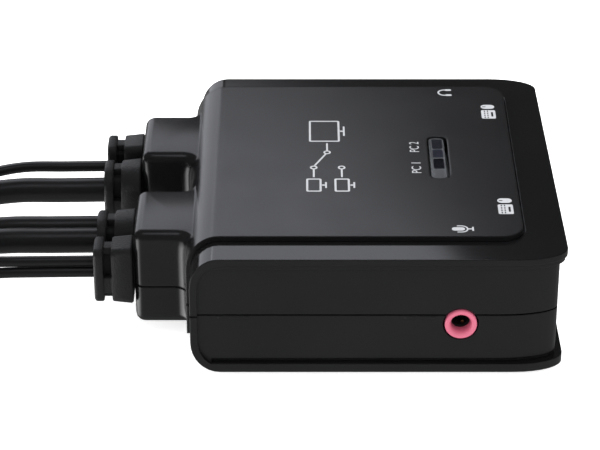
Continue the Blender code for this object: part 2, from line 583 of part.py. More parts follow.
# Where each cord runs, from its strain relief to its hank: X, Y and Z in millimetres.
ROUTES = {
    "pc1_usb": [
        (-45.2, -6.5, 15), (-54, -6.5, 14.9), (-63, -6.5, 14.8), (-72, -6.1, 13.5), (-81, -5.1, 10.4),
        (-90, -4, 6.6), (-99, -3, 3.5), (-108, -2.6, 2.15),
    ],
    "pc1_video": [
        (-45.2, -11.4, 14.7), (-54, -11.4, 14.6), (-63, -11.4, 14.5), (-71, -11, 13.3), (-79, -10.1, 10.3),
        (-87, -9, 6.7), (-95, -8.1, 3.9), (-103.5, -7.65, 2.55),
    ],
    "pc1_speaker": [
        (-45.2, -20.2, 15.2), (-54, -20.2, 15.1), (-63, -20.2, 15), (-71, -17.8, 13.5), (-79, -15.1, 10.1),
        (-87, -13, 6), (-95, -11.7, 2.5), (-103, -11.3, 1.1),
    ],
    "pc1_mic": [
        (-45.2, -20.6, 13), (-54, -20.6, 12.9), (-63, -20.6, 12.7), (-71, -19.8, 11.4), (-78.5, -18.1, 8.5),
        (-86, -16.1, 5.1), (-93.5, -14.5, 2.3), (-101, -13.8, 1.1),
    ],
    "pc2_video": [
        (-45.2, 9.2, 14.55), (-54, 9.2, 14.4), (-63, 9.2, 14.3), (-72, 8.5, 13.1), (-81, 6.9, 10.1),
        (-90, 5.1, 6.6), (-99, 3.5, 3.7), (-107.5, 2.9, 2.55),
    ],
    "pc2_usb": [
        (-45.2, 13.5, 12), (-54, 13.5, 11.9), (-63, 13.5, 11.8), (-71, 13, 10.8), (-79.5, 11.6, 8.4),
        (-88, 9.9, 5.5), (-96, 8.6, 3.2), (-104.5, 8, 2.15),
    ],
    "pc2_speaker": [
        (-45.2, 20.4, 13.8), (-54, 20.4, 13.7), (-63, 20.4, 13.5), (-71, 18.8, 12.3), (-79, 16.3, 9.3),
        (-87, 13.9, 5.5), (-95, 12.1, 2.4), (-103, 11.4, 1.1),
    ],
    "pc2_mic": [
        (-45.2, 22.75, 12.7), (-54, 22.75, 12.6), (-63, 22.75, 12.4), (-71, 21.7, 11.1), (-78.5, 19.5, 8.3),
        (-86, 16.9, 5), (-93.5, 14.75, 2.3), (-101, 13.85, 1.1),
    ],
}
DIAMETERS = {"video": VIDEO_D, "usb": USB_D, "speaker": AUDIO_D, "mic": AUDIO_D}


def smooth_line(points, spacing):
    """Evenly spaced points on a Catmull-Rom curve through a route's points."""
    ends = [2 * points[0] - points[1], *points, 2 * points[-1] - points[-2]]
    line = []
    for a, b, c, d in zip(ends, ends[1:], ends[2:], ends[3:]):
        for step in range(20):
            t = step / 20
            bend, twist = 2 * a - 5 * b + 4 * c - d, 3 * b - a - 3 * c + d
            line.append(0.5 * (2 * b + (c - a) * t + bend * t**2 + twist * t**3))
    line.append(points[-1])
    length = sum((q - p).length for p, q in zip(line, line[1:]))
    count = max(2, round(length / spacing))
    spaced, walked, nearest = [line[0]], 0.0, 1
    for p, q in zip(line, line[1:]):
        walked += (q - p).length
        if walked >= nearest * length / count and nearest < count:
            spaced.append(q)
            nearest += 1
    return [*spaced, line[-1]]


def make_cord(name, diameter, finish):
    line = smooth_line([Vector(point) * MM for point in ROUTES[name]], 2.2 * diameter)
    curve = bpy.data.curves.new(f"cord_{name}", "CURVE")
    curve.dimensions = "3D"
    curve.bevel_depth = diameter / 2
    curve.bevel_resolution = 2
    curve.use_fill_caps = True
    spline = curve.splines.new("POLY")
    spline.points.add(len(line) - 1)
    for knot, place in zip(spline.points, line):
        knot.co = (*place, 1.0)
    curve.materials.append(finish)
    made = bpy.data.objects.new(f"cord_{name}", curve)
    bpy.context.scene.collection.objects.link(made)


def racetrack(middle, radius):
    """An outline of two half circles about the hank's turning points, and the straight runs between them."""
    return [
        (x + radius * math.cos(a), middle + radius * math.sin(a))
        for x, start in ((HANK_NEAR, -90), (HANK_FAR, 90))
        for a in (math.radians(start + 15 * step) for step in range(13))
    ]


def make_hank(name, side, finish):
    """Outer shape of one computer's four cords, wound into a long bundle that is open in the middle."""
    hank = prism(f"hank_{name}", racetrack(side * HANK_Y, HANK_OUTSIDE), 0, HANK_HIGH, "Z", finish)
    cut(hank, prism(f"cut_hank_{name}", racetrack(side * HANK_Y, HANK_INSIDE), -1 * MM, HANK_HIGH + 1 * MM))


# ------------------------------------------------------------------- plugs

PLUG_FLOOR = HANK_HIGH + GAP
ENTRY_BACK, RETURN_BACK = -154 * MM, -186 * MM  # where the cords of a hank's two sides end in their plugs


def plug_body(name, back, y, sections, finish, corner):
    """A moulded grip through sections of (X from the back, width, height)."""
    middle = PLUG_FLOOR + max(high for _, _, high in sections) / 2
    rings = []
    for along, wide, high in sections:
        outline = rounded_box(y, middle, wide, high, min(corner, 0.45 * min(wide, high)), 3)
        rings.append([on_axis("X", u, v, back + along) for u, v in outline])
    loft(name, rings, finish)
    return middle


def make_flat_plug(name, kind, heading, y, finish, steel):
    """Video or USB plug: boot, grip, and a plated shell that is open at its tip."""
    grip_wide, grip_high, shell_wide, shell_high, grip_end = {
        "video": (20 * MM, 11 * MM, 13.9 * MM, 4.5 * MM, 31 * MM),
        "usb": (15.5 * MM, 8 * MM, 12 * MM, 4.5 * MM, 28 * MM),
    }[kind]
    back = RETURN_BACK if heading > 0 else ENTRY_BACK
    boot = DIAMETERS[kind] + 1.6 * MM
    sections = [
        (0, boot, boot),
        (8 * MM, boot + 1 * MM, boot + 1 * MM),
        (9 * MM, 0.8 * grip_wide, 0.85 * grip_high),
        (12 * MM, grip_wide, grip_high),
        (grip_end - 1 * MM, grip_wide, grip_high),
        (grip_end, grip_wide - 1.5 * MM, grip_high - 1.5 * MM),
    ]
    sections = [(heading * along, wide, high) for along, wide, high in sections]
    middle = plug_body(f"{name}_plug", back, y, sections, finish, 2.5 * MM)
    start, tip = back + heading * (grip_end + GAP), back + heading * (grip_end + 12 * MM)
    outer = rounded_box(y, middle, shell_wide, shell_high, 0.6 * MM, 2)
    inner = rounded_box(y, middle, shell_wide - 0.8 * MM, shell_high - 0.8 * MM, 0.4 * MM, 2)
    shell = prism(f"{name}_plug_shell", outer, *sorted((start, tip)), "X", steel)
    hollow = sorted((start + heading * 4 * MM, tip + heading * 1 * MM))
    cut(shell, prism(f"cut_{name}_plug", inner, *hollow, "X"))


def make_audio_plug(name, back, heading, y, low, finish):
    """3.5 mm plug in the middle of a hank: boot, round grip and tipped pin."""
    grip = 4.25 * MM
    boot = [(0, 1.7 * MM), (7 * MM, 2.6 * MM), (8 * MM, grip), (20 * MM, grip), (21 * MM, 3 * MM)]
    pin = [(21 * MM, 1.75 * MM), (32 * MM, 1.75 * MM), (32.6 * MM, 1.2 * MM)]
    tip = [(33.6 * MM, 1.7 * MM), (35 * MM, 0.5 * MM)]
    profile = [(back + heading * along, radius) for along, radius in boot + pin + tip]
    turned(f"{name}_plug", (y, low + grip), profile, "X", finish, 16)


def make_plugs(finish, steel):
    """On each hank, a flat plug on either side; in its middle, the two audio plugs, one on the other."""
    for side, name, entry, other in ((-1, "pc1", "video", "usb"), (1, "pc2", "usb", "video")):
        middle = side * HANK_Y
        make_flat_plug(f"{name}_{entry}", entry, -1, middle - side * 11 * MM, finish, steel)
        make_flat_plug(f"{name}_{other}", other, 1, middle + side * 11 * MM, finish, steel)
        make_audio_plug(f"{name}_mic", -184 * MM, 1, middle, 0.1 * MM, finish)
        make_audio_plug(f"{name}_speaker", -176 * MM, -1, middle, 8.9 * MM, finish)


# -------------------------------------------------------------------- all


def main():
    for old in list(bpy.data.objects):
        bpy.data.objects.remove(old)
    finish = make_materials()
    openings = wall_openings()
    make_top_shell(finish["gloss"], openings)
    make_bottom_shell(finish["gloss"], openings)
    make_top_panel(finish["satin"])
    make_cable_clamp(finish["satin"])
    for name, (grip_y, wide, neck_y) in RELIEFS.items():
        make_strain_relief(name, grip_y, wide, neck_y, finish["rubber"])
    make_board(finish["board"])
    make_jack("mic", -1, finish["chip"], finish["pink"])
    make_jack("headphone", 1, finish["chip"], finish["green"])
    for name, y in (("usb_front", -USB_Y), ("usb_rear", USB_Y)):
        tongue = (11.1 * MM, 1.8 * MM, 0.9 * MM)
        make_socket(name, y, (13.1 * MM, 5.7 * MM), tongue, finish["steel"], finish["natural"])
    make_socket("video", 0, (15.0 * MM, 6.1 * MM), (11.5 * MM, 1.0 * MM, 0), finish["steel"], finish["chip"])
    make_chips(finish["chip"], finish["steel"], finish["natural"])
    make_button(finish["clear"], finish["chip"], finish["light"])
    make_screws(finish["steel"])
    make_feet(finish["rubber"])
    for name in ROUTES:
        make_cord(name, DIAMETERS[name.split("_")[1]], finish["cord"])
    for side, name in ((-1, "pc1"), (1, "pc2")):
        make_hank(name, side, finish["cord"])
    make_plugs(finish["rubber"], finish["steel"])


main()
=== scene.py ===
"""A two-port KVM switch with built-in cables: its looks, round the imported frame.

The frame: +Z up, +X towards the console sockets, -Y towards the microphone socket. Lengths are metres, and MM
turns millimetres into them.
"""

import json
import math

import bmesh
import bpy
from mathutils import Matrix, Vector

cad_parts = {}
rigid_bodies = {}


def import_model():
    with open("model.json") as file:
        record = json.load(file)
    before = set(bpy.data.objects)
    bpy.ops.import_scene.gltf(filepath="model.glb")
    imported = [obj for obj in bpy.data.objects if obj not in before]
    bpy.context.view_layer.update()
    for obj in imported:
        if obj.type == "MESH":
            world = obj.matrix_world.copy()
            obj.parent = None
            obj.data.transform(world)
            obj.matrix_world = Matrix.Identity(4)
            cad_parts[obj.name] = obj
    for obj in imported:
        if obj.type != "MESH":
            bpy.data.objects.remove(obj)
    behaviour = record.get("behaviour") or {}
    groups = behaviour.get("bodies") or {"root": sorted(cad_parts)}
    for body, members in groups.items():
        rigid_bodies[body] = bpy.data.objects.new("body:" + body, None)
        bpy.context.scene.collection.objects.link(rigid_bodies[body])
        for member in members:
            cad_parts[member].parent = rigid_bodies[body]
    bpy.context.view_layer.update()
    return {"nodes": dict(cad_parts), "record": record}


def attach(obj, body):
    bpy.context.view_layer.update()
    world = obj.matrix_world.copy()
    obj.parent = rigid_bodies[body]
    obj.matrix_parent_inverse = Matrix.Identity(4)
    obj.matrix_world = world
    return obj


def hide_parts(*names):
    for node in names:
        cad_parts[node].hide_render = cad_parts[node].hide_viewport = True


MM = 0.001

# Places of the mix node's sockets, some of which share a name.
MIX_FACTOR, MIX_NUMBER_A, MIX_NUMBER_B, MIX_COLOR_A, MIX_COLOR_B, MIX_COLOR_OUT = 0, 2, 3, 6, 7, 2
NOISE_ROUGHNESS = 0.55

for old in list(bpy.data.objects):
    bpy.data.objects.remove(old)
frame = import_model()
nodes = frame["nodes"]


# ------------------------------------------------------------- materials


def map_range(tree, value, from_low, from_high, low, high):
    """A node that goes from low to high while its value goes from one number to another."""
    made = tree.nodes.new("ShaderNodeMapRange")
    numbers = {"From Min": from_low, "From Max": from_high, "To Min": low, "To Max": high}
    for socket, number in numbers.items():
        made.inputs[socket].default_value = number
    tree.links.new(value, made.inputs["Value"])
    return made.outputs["Result"]


class Shader:
    """A material whose Principled BSDF is fed by procedural nodes in the frame's own coordinates."""

    def __init__(self, name, color, roughness, metallic=0.0, specular=0.5):
        self.material = bpy.data.materials.new(name)
        self.material.use_nodes = True
        self.tree = self.material.node_tree
        self.surface = self.tree.nodes["Principled BSDF"]
        self.color, self.roughness = color, roughness
        self.set("Base Color", (*color, 1.0))
        self.set("Roughness", roughness)
        self.set("Metallic", metallic)
        self.set("Specular IOR Level", specular)
        self.place = self.node("ShaderNodeTexCoord").outputs["Object"]
        self.normal = None

    def set(self, socket, value):
        self.surface.inputs[socket].default_value = value

    def node(self, kind, **settings):
        made = self.tree.nodes.new(kind)
        for key, value in settings.items():
            setattr(made, key, value)
        return made

    def wire(self, source, target):
        self.tree.links.new(source, target)

    def noise(self, size, detail=3.0, stretch=(1, 1, 1)):
        """Noise with features about size metres across, longer along an axis where stretch is below 1."""
        scale = self.node("ShaderNodeMapping")
        scale.inputs["Scale"].default_value = stretch
        self.wire(self.place, scale.inputs["Vector"])
        made = self.node("ShaderNodeTexNoise")
        made.inputs["Scale"].default_value = 1 / size
        made.inputs["Detail"].default_value = detail
        made.inputs["Roughness"].default_value = NOISE_ROUGHNESS
        self.wire(scale.outputs["Vector"], made.inputs["Vector"])
        return made.outputs["Fac"]

    def ramp(self, value, low, high, from_low=0.3, from_high=0.7):
        """Low to high over the range that a noise's values mostly have, or over another one."""
        return map_range(self.tree, value, from_low, from_high, low, high)

    def mottle(self, value, light, dark):
        """Base colour between two tints of the material's own colour."""
        mix = self.node("ShaderNodeMix", data_type="RGBA")
        mix.inputs[MIX_COLOR_A].default_value = (*(c * dark for c in self.color), 1.0)
        mix.inputs[MIX_COLOR_B].default_value = (*(min(1.0, c * light) for c in self.color), 1.0)
        self.wire(self.ramp(value, 0, 1), mix.inputs[MIX_FACTOR])
        self.wire(mix.outputs[MIX_COLOR_OUT], self.surface.inputs["Base Color"])

    def uneven(self, value, spread):
        """Roughness that wanders by the spread on either side of the material's own."""
        patches = self.ramp(value, self.roughness - spread, self.roughness + spread)
        self.wire(patches, self.surface.inputs["Roughness"])

    def soften_edges(self, radius):
        """Shades the edges as if they were rounded; bumps are added after it."""
        rounded = self.node("ShaderNodeBevel", samples=6)
        rounded.inputs["Radius"].default_value = radius
        self.normal = rounded.outputs["Normal"]
        self.wire(self.normal, self.surface.inputs["Normal"])

    def bump(self, height, depth, strength=1.0):
        made = self.node("ShaderNodeBump")
        made.inputs["Strength"].default_value = strength
        made.inputs["Distance"].default_value = depth
        self.wire(height, made.inputs["Height"])
        if self.normal:
            self.wire(self.normal, made.inputs["Normal"])
        self.normal = made.outputs["Normal"]
        self.wire(self.normal, self.surface.inputs["Normal"])


def moulded(name, color, roughness, edge=0.25 * MM, grain=0.35 * MM, depth=0.012 * MM, spread=0.05):
    """Injection-moulded plastic: soft edges, a fine spark-eroded grain, slightly uneven colour and gloss."""
    made = Shader(name, color, roughness)
    made.soften_edges(edge)
    made.bump(made.noise(grain, 2.0), depth)
    made.uneven(made.noise(9 * MM, 3.0), spread)
    made.mottle(made.noise(14 * MM, 4.0), 1.08, 0.92)
    return made.material


def gloss_black():
    """Piano-black shell: like a mirror where it faces up, duller on the walls, with hairline scratches."""
    made = Shader("gloss_black", (0.0046, 0.0046, 0.0049), 0.1)
    made.soften_edges(0.35 * MM)
    scratches = made.noise(0.6 * MM, 5.0, stretch=(0.05, 1, 1))
    made.bump(scratches, 0.0006 * MM)
    facing = made.node("ShaderNodeSeparateXYZ")
    made.wire(made.node("ShaderNodeNewGeometry").outputs["Normal"], facing.inputs["Vector"])
    wall = made.ramp(facing.outputs["Z"], 0.3, 0.09, 0.3, 0.8)
    dust = made.ramp(made.noise(0.25 * MM, 2.0), 0.0, 0.04, 0.62, 0.75)
    total = made.node("ShaderNodeMath", operation="ADD")
    made.wire(wall, total.inputs[0])
    made.wire(dust, total.inputs[1])
    made.wire(total.outputs[0], made.surface.inputs["Roughness"])
    made.mottle(made.noise(20 * MM, 2.0), 1.15, 0.9)
    return made.material


def cord_jacket():
    """Smooth extruded jacket, with a faint waviness where it cooled."""
    made = Shader("cord_jacket", (0.004, 0.004, 0.0045), 0.34)
    made.bump(made.noise(2.2 * MM, 2.0), 0.03 * MM, 0.6)
    made.uneven(made.noise(5 * MM, 3.0), 0.05)
    made.mottle(made.noise(11 * MM, 3.0), 1.15, 0.88)
    return made.material


def metal(name, color, roughness):
    """Plated sheet with a fine grain along X."""
    made = Shader(name, color, roughness, metallic=1.0)
    made.soften_edges(0.15 * MM)
    stretch = (0.04, 1, 1)
    made.bump(made.noise(0.12 * MM, 3.0, stretch=stretch), 0.002 * MM)
    made.uneven(made.noise(0.8 * MM, 4.0, stretch=stretch), 0.08)
    made.mottle(made.noise(3 * MM, 3.0), 1.05, 0.86)
    return made.material


def board_green():
    """Solder mask over copper: tracks show as slightly lighter, raised lines."""
    made = Shader("board_green", (0.015, 0.1, 0.04), 0.35)
    tracks = made.node("ShaderNodeTexBrick")
    tracks.inputs["Scale"].default_value = 180.0
    tracks.inputs["Mortar Size"].default_value = 0.06
    made.wire(made.place, tracks.inputs["Vector"])
    made.bump(tracks.outputs["Fac"], 0.03 * MM)
    made.mottle(tracks.outputs["Fac"], 1.7, 0.85)
    made.uneven(made.noise(2 * MM, 3.0), 0.08)
    return made.material


def smoked_clear():
    """Clear acrylic with a slight smoke tint and fine moulding swirls."""
    made = Shader("smoked_clear", (0.82, 0.86, 0.9), 0.08)
    made.set("Transmission Weight", 0.9)
    made.set("IOR", 1.49)
    made.soften_edges(0.2 * MM)
    made.bump(made.noise(1.2 * MM, 2.0), 0.004 * MM)
    made.uneven(made.noise(2 * MM, 3.0), 0.04)
    return made.material


def woven_tie():
    """Hook-and-loop strap: a fuzzy weave."""
    made = Shader("woven_tie", (0.008, 0.008, 0.009), 0.85)
    made.set("Sheen Weight", 0.4)
    made.bump(made.noise(0.4 * MM, 4.0), 0.12 * MM)
    made.mottle(made.noise(0.7 * MM, 4.0), 1.9, 0.7)
    return made.material


M = {
    "gloss_black": gloss_black(),
    "satin_charcoal": moulded(
        "satin_charcoal", (0.005, 0.005, 0.0055), 0.22, 0.45 * MM, 0.22 * MM, 0.003 * MM, 0.02,
    ),
    "rubber_black": moulded(
        "rubber_black", (0.006, 0.006, 0.0065), 0.45, 0.3 * MM, 0.32 * MM, 0.13 * MM, 0.08,
    ),
    "cord_jacket": cord_jacket(),
    "plug_black": moulded("plug_black", (0.014, 0.014, 0.015), 0.5, 0.4 * MM, 0.3 * MM, 0.025 * MM),
    "part_black": moulded("part_black", (0.012, 0.012, 0.013), 0.4, 0.1 * MM, 0.2 * MM, 0.008 * MM),
    "plated_steel": metal("plated_steel", (0.62, 0.61, 0.59), 0.26),
    "contact_gold": metal("contact_gold", (0.83, 0.6, 0.27), 0.22),
    "board_green": board_green(),
    "natural_white": moulded("natural_white", (0.62, 0.6, 0.54), 0.5, 0.15 * MM),
    "socket_pink": moulded("socket_pink", (0.5, 0.105, 0.17), 0.38, 0.2 * MM, 0.3 * MM, 0.004 * MM),
    "socket_green": moulded("socket_green", (0.13, 0.36, 0.09), 0.38, 0.2 * MM, 0.3 * MM, 0.004 * MM),
    "smoked_clear": smoked_clear(),
    "lamp_white": moulded("lamp_white", (0.75, 0.78, 0.8), 0.35, 0.1 * MM),
    "print_white": moulded("print_white", (0.42, 0.43, 0.45), 0.55, 0.01 * MM, 0.12 * MM, 0.002 * MM),
    # The window's cells: smoked dark glass, and pale painted highlights on the glassy cells and along the
    # window's edge.
    "cell_dark": moulded("cell_dark", (0.006, 0.0065, 0.012), 0.2, 0.01 * MM, 0.5 * MM, 0.002 * MM),
    "cell_pale": moulded("cell_pale", (0.028, 0.031, 0.05), 0.25, 0.01 * MM, 0.5 * MM, 0.002 * MM),
    "cell_rim": moulded("cell_rim", (0.07, 0.073, 0.08), 0.2, 0.05 * MM, 0.3 * MM, 0.002 * MM),
    "woven_tie": woven_tie(),
    # Near-black for the audio plugs' insulating bands and the jacks' liners. On the relief cores and the plug
    # shells' window patches it is painted shade.
    "bore_black": moulded("bore_black", (0.003, 0.003, 0.003), 0.7, 0.1 * MM),
}


# ------------------------------------------------------------ piece tools

PRINT_THICK = 0.02 * MM
WELD_DISTANCE, SPLIT_ANGLE = 2e-6, 32


def dress(piece, finish, body="housing"):
    """Gives a piece its material, and lets it ride on a body."""
    piece.data.materials.clear()
    piece.data.materials.append(M[finish])
    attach(piece, body)
    return piece


def mesh_piece(name, points, faces, smooth_angle=35):
    """A piece of these points and faces; edges that turn more than the angle stay sharp."""
    mesh = bpy.data.meshes.new(name)
    shape = bmesh.new()
    corners = [shape.verts.new(point) for point in points]
    for face in faces:
        shape.faces.new([corners[i] for i in face])
    bmesh.ops.recalc_face_normals(shape, faces=shape.faces)
    shape.to_mesh(mesh)
    shape.free()
    mesh.shade_smooth()
    mesh.set_sharp_from_angle(angle=math.radians(smooth_angle))
    made = bpy.data.objects.new(name, mesh)
    bpy.context.scene.collection.objects.link(made)
    return made


def loft_data(rings, start=0):
    """Points and faces of a solid through rings of equally many points."""
    count, last = len(rings[0]), len(rings) - 1
    faces = [
        (r * count + i, r * count + (i + 1) % count, (r + 1) * count + (i + 1) % count, (r + 1) * count + i)
        for r in range(last)
        for i in range(count)
    ]
    faces += [tuple(range(count)), tuple(range(last * count, (last + 1) * count))]
    return [point for ring in rings for point in ring], [tuple(i + start for i in face) for face in faces]


def closed_loft(rings):
    """Points and faces of a tube wall: a loft whose last ring joins its first one, so it needs no caps."""
    count, rows = len(rings[0]), len(rings)
    faces = []
    for r in range(rows):
        here, after = r * count, (r + 1) % rows * count
        for i in range(count):
            j = (i + 1) % count
            faces.append((here + i, here + j, after + j, after + i))
    return [point for ring in rings for point in ring], faces


def joined(name, lofts, smooth_angle):
    """One piece of several closed lofts, which may sink into each other."""
    points, faces = [], []
    for rings in lofts:
        more, shapes = loft_data(rings, len(points))
        points += more
        faces += shapes
    return mesh_piece(name, points, faces, smooth_angle)


def on_axis(axis, u, v, w):
    """A point whose coordinate along the axis is w, and whose others are u and v in X, Y, Z order."""
    return {"X": (w, u, v), "Y": (u, w, v), "Z": (u, v, w)}[axis]


def circle(u, v, radius, count=48):
    angles = [2 * math.pi * i / count for i in range(count)]
    return [(u + radius * math.cos(a), v + radius * math.sin(a)) for a in angles]


def rounded_box(u, v, wide, high, radius, steps=5):
    """An outline of a rectangle centred on (u, v), with equal round corners that never quite meet."""
    radius = min(radius, 0.499 * wide, 0.499 * high)
    outline = []
    for i, (a, b) in enumerate(((1, 1), (-1, 1), (-1, -1), (1, -1))):
        for turn in (math.pi / 2 * (i + step / steps) for step in range(steps + 1)):
            across = a * (wide / 2 - radius) + radius * math.cos(turn)
            up = b * (high / 2 - radius) + radius * math.sin(turn)
            outline.append((u + across, v + up))
    return outline


def slab(name, low, high, radius):
    """A box between two corners, with rounded upright edges; everything is in millimetres."""
    (x0, y0, z0), (x1, y1, z1) = [[number * MM for number in corner] for corner in (low, high)]
    outline = rounded_box((x0 + x1) / 2, (y0 + y1) / 2, x1 - x0, y1 - y0, radius * MM, 3)
    return mesh_piece(name, *loft_data([[(u, v, z) for u, v in outline] for z in (z0, z1)]))


def turned_rings(centre, profile, axis, count=48):
    """Circles round an axis through the centre, one for each place and radius of the profile."""
    return [[on_axis(axis, u, v, w) for u, v in circle(*centre, radius, count)] for w, radius in profile]


def ribbon(name, outlines, low):
    """Flat print: closed outlines filled by the even-odd rule, so one inside another is a hole."""
    curve = bpy.data.curves.new(name, "CURVE")
    curve.dimensions = "2D"
    curve.fill_mode = "BOTH"
    curve.extrude = PRINT_THICK / 2
    for outline in outlines:
        spline = curve.splines.new("POLY")
        spline.points.add(len(outline) - 1)
        for knot, (u, v) in zip(spline.points, outline):
            knot.co = (u, v, 0, 1)
        spline.use_cyclic_u = True
    made = bpy.data.objects.new(name, curve)
    made.location.z = low + PRINT_THICK / 2
    bpy.context.scene.collection.objects.link(made)
    return made


def smooth_cad(obj):
    """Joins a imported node's loose triangles and shades its curved faces smooth; its shape stays."""
    mesh = obj.data
    if "custom_normal" in mesh.attributes:
        mesh.attributes.remove(mesh.attributes["custom_normal"])
    for name in ("sharp_edge", "sharp_face"):
        if name in mesh.attributes:
            mesh.attributes.remove(mesh.attributes[name])
    mesh.shade_smooth()
    weld = obj.modifiers.new("weld", "WELD")
    weld.merge_threshold = WELD_DISTANCE
    split = obj.modifiers.new("split", "EDGE_SPLIT")
    split.split_angle = math.radians(SPLIT_ANGLE)


# --------------------------------------------------------- detailed pieces

# A strain relief's parts along X: where each ring stands, and how much wider and higher than the relief
# it is, in millimetres.
OUTER_FLANGE = ((-44.9, -0.7, -0.7), (-44.6, -0.1, -0.1), (-44.3, 0, 0), (-43.3, 0, 0), (-43.05, -0.3, -0.3))
INNER_FLANGE = ((-41.45, -0.3, -0.3), (-41.2, 0, 0), (-37.7, 0.2, 0.7), (-37.42, -0.2, 0.3))
CORE = ((-43.3, -3.4, -3.4), (-41.2, -3.4, -3.4))
BRIDGE_ENDS, NECK_ENDS = (-43.3, -41.2), (-37.5, -33.4)
# The bars across its slot: half the width of the upper and lower ones, the heights of the side ones, and how
# far inside the relief's outline the bars reach and start.
BRIDGE_HALF, BRIDGE_LOW, BRIDGE_TOP = 1.3 * MM, 9.9 * MM, 13.3 * MM
BRIDGE_DEEP, BRIDGE_INSET, SIDE_INSET = 1.9 * MM, 0.35 * MM, 0.3 * MM
RELIEF_HIGH, RELIEF_MIDDLE = 11.6 * MM, 13.5 * MM
# Each relief's middle, its width, and the middle of the neck behind it, along Y.
RELIEFS = {
    "pc1_audio": (-20.4, 7.0, -19.6),
    "pc1_main": (-9.5, 10.2, -11.0),
    "pc2_main": (11.2, 10.2, 12.4),
    "pc2_audio": (21.4, 7.0, 21.0),
}


def along_x(outline, xs):
    """Rings of a Y, Z outline, standing at places along X that are in millimetres."""
    return [[(x * MM, u, v) for u, v in outline] for x in xs]


def bridge(low, high):
    """Rings of one short bar across a strain relief's slot, between two Y, Z corners."""
    size = high[0] - low[0], high[1] - low[1]
    outline = rounded_box((low[0] + high[0]) / 2, (low[1] + high[1]) / 2, *size, 0.2 * MM, 3)
    return along_x(outline, BRIDGE_ENDS)


def make_strain_relief(name, y, wide, neck_y):
    """Outer flange, a slot that four bridges cross, and a flared inner flange, over the cast neck."""
    takes_thick_cords = wide > 8 * MM
    corner = (0.42 if takes_thick_cords else 0.2) * wide
    inset = SIDE_INSET + (0.1 * MM if takes_thick_cords else 0)

    def rings(profile, radius=corner):
        made = []
        for x, wider, higher in profile:
            size = wide + wider * MM, RELIEF_HIGH + higher * MM
            made += along_x(rounded_box(y, RELIEF_MIDDLE, *size, radius, 8), (x,))
        return made

    half, top, low = wide / 2, RELIEF_MIDDLE + RELIEF_HIGH / 2, RELIEF_MIDDLE - RELIEF_HIGH / 2
    lofts = [
        rings(OUTER_FLANGE),
        rings(INNER_FLANGE),
        bridge((y - BRIDGE_HALF, top - BRIDGE_DEEP), (y + BRIDGE_HALF, top - BRIDGE_INSET)),
        bridge((y - BRIDGE_HALF, low + BRIDGE_INSET), (y + BRIDGE_HALF, low + BRIDGE_DEEP)),
        bridge((y - half + inset, BRIDGE_LOW), (y - half + BRIDGE_DEEP, BRIDGE_TOP)),
        bridge((y + half - BRIDGE_DEEP, BRIDGE_LOW), (y + half - inset, BRIDGE_TOP)),
    ]
    piece = dress(joined(f"relief_{name}", lofts, 40), "rubber_black")
    # A near-black block fills the relief behind its slot, so the slot reads dark: partly the black cord
    # inside, partly painted shade of the hollow.
    core = mesh_piece(f"relief_core_{name}", *loft_data(rings(CORE, 0.9 * MM)))
    dress(core, "bore_black")
    outline = rounded_box(neck_y, RELIEF_MIDDLE, 3.5 * MM, 8.5 * MM, 1.2 * MM)
    neck = mesh_piece(f"relief_neck_{name}", *loft_data(along_x(outline, NECK_ENDS)))
    dress(neck, "rubber_black")
    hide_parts(f"strain_relief_{name}")


# The jacks' middle, and profiles round their axis: the distance from the housing's middle, and the radius, in
# millimetres.
JACK_X, JACK_Z = 25.1 * MM, 11.1 * MM
JACK_BARREL = (
    (34.6, 2.9), (35.6, 2.9), (35.6, 3.05), (36.72, 3.05), (36.9, 2.98), (37.0, 2.82), (37.0, 2.45),
    (36.75, 2.12), (36.3, 1.92), (35.2, 1.85), (34.6, 1.85),
)
JACK_LINER = ((34.2, 1.84), (34.2, 1.6), (24.0, 1.6), (24.0, 1.84))
# Three contact leaves in the bore: the angle they stand at, and where they start and end.
JACK_LEAVES = ((-70, 30.5, 33.6), (110, 28.0, 31.0), (20, 26.0, 29.0))
LEAF_OFFSET = 1.35 * MM


def make_jack_ring(name, side, finish):
    """Coloured barrel with a countersunk bore, a dark liner, and plated contact leaves in it."""

    def turned(profile):
        scaled = [(side * w * MM, radius * MM) for w, radius in profile]
        return closed_loft(turned_rings((JACK_X, JACK_Z), scaled, "Y", 72))

    ring = dress(mesh_piece(f"{name}_ring", *turned(JACK_BARREL), 50), finish)
    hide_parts(f"{name}_jack_ring")
    dress(mesh_piece(f"{name}_liner", *turned(JACK_LINER)), "bore_black")
    for angle, near, far in JACK_LEAVES:
        turn = math.radians(angle)
        leaf_x, leaf_z = JACK_X + LEAF_OFFSET * math.cos(turn), JACK_Z + LEAF_OFFSET * math.sin(turn)
        outline = rounded_box(leaf_x, leaf_z, 0.7 * MM, 0.35 * MM, 0.12 * MM, 3)
        rings = [[on_axis("Y", u, v, side * w * MM) for u, v in outline] for w in (near, far)]
        leaf = mesh_piece(f"{name}_contact_{angle}", *loft_data(rings))
        dress(leaf, "contact_gold")


# The console sockets' contacts: socket, Y of the row's middle, count, pitch, width, and height of the
# tongue's top, in millimetres.
CONTACT_ROWS = (
    ("usb_front", -20, 4, 2.3, 1.1, 11.0),
    ("usb_rear", 20, 4, 2.3, 1.1, 11.0),
    ("video", 0, 10, 1.0, 0.5, 10.62),
)
CONTACT_LEFT, CONTACT_RIGHT = 33.5, 41.4


def make_socket_contacts():
    """Gold strips on the tongues of the three console sockets."""
    for name, y, count, pitch, wide, z in CONTACT_ROWS:
        for i in range(count):
            at = y + (i - (count - 1) / 2) * pitch
            low, high = (CONTACT_LEFT, at - wide / 2, z - 0.06), (CONTACT_RIGHT, at + wide / 2, z + 0.04)
            dress(slab(f"{name}_contact_{i}", low, high, 0.1), "contact_gold")


# ------------------------------------------------------------------ print

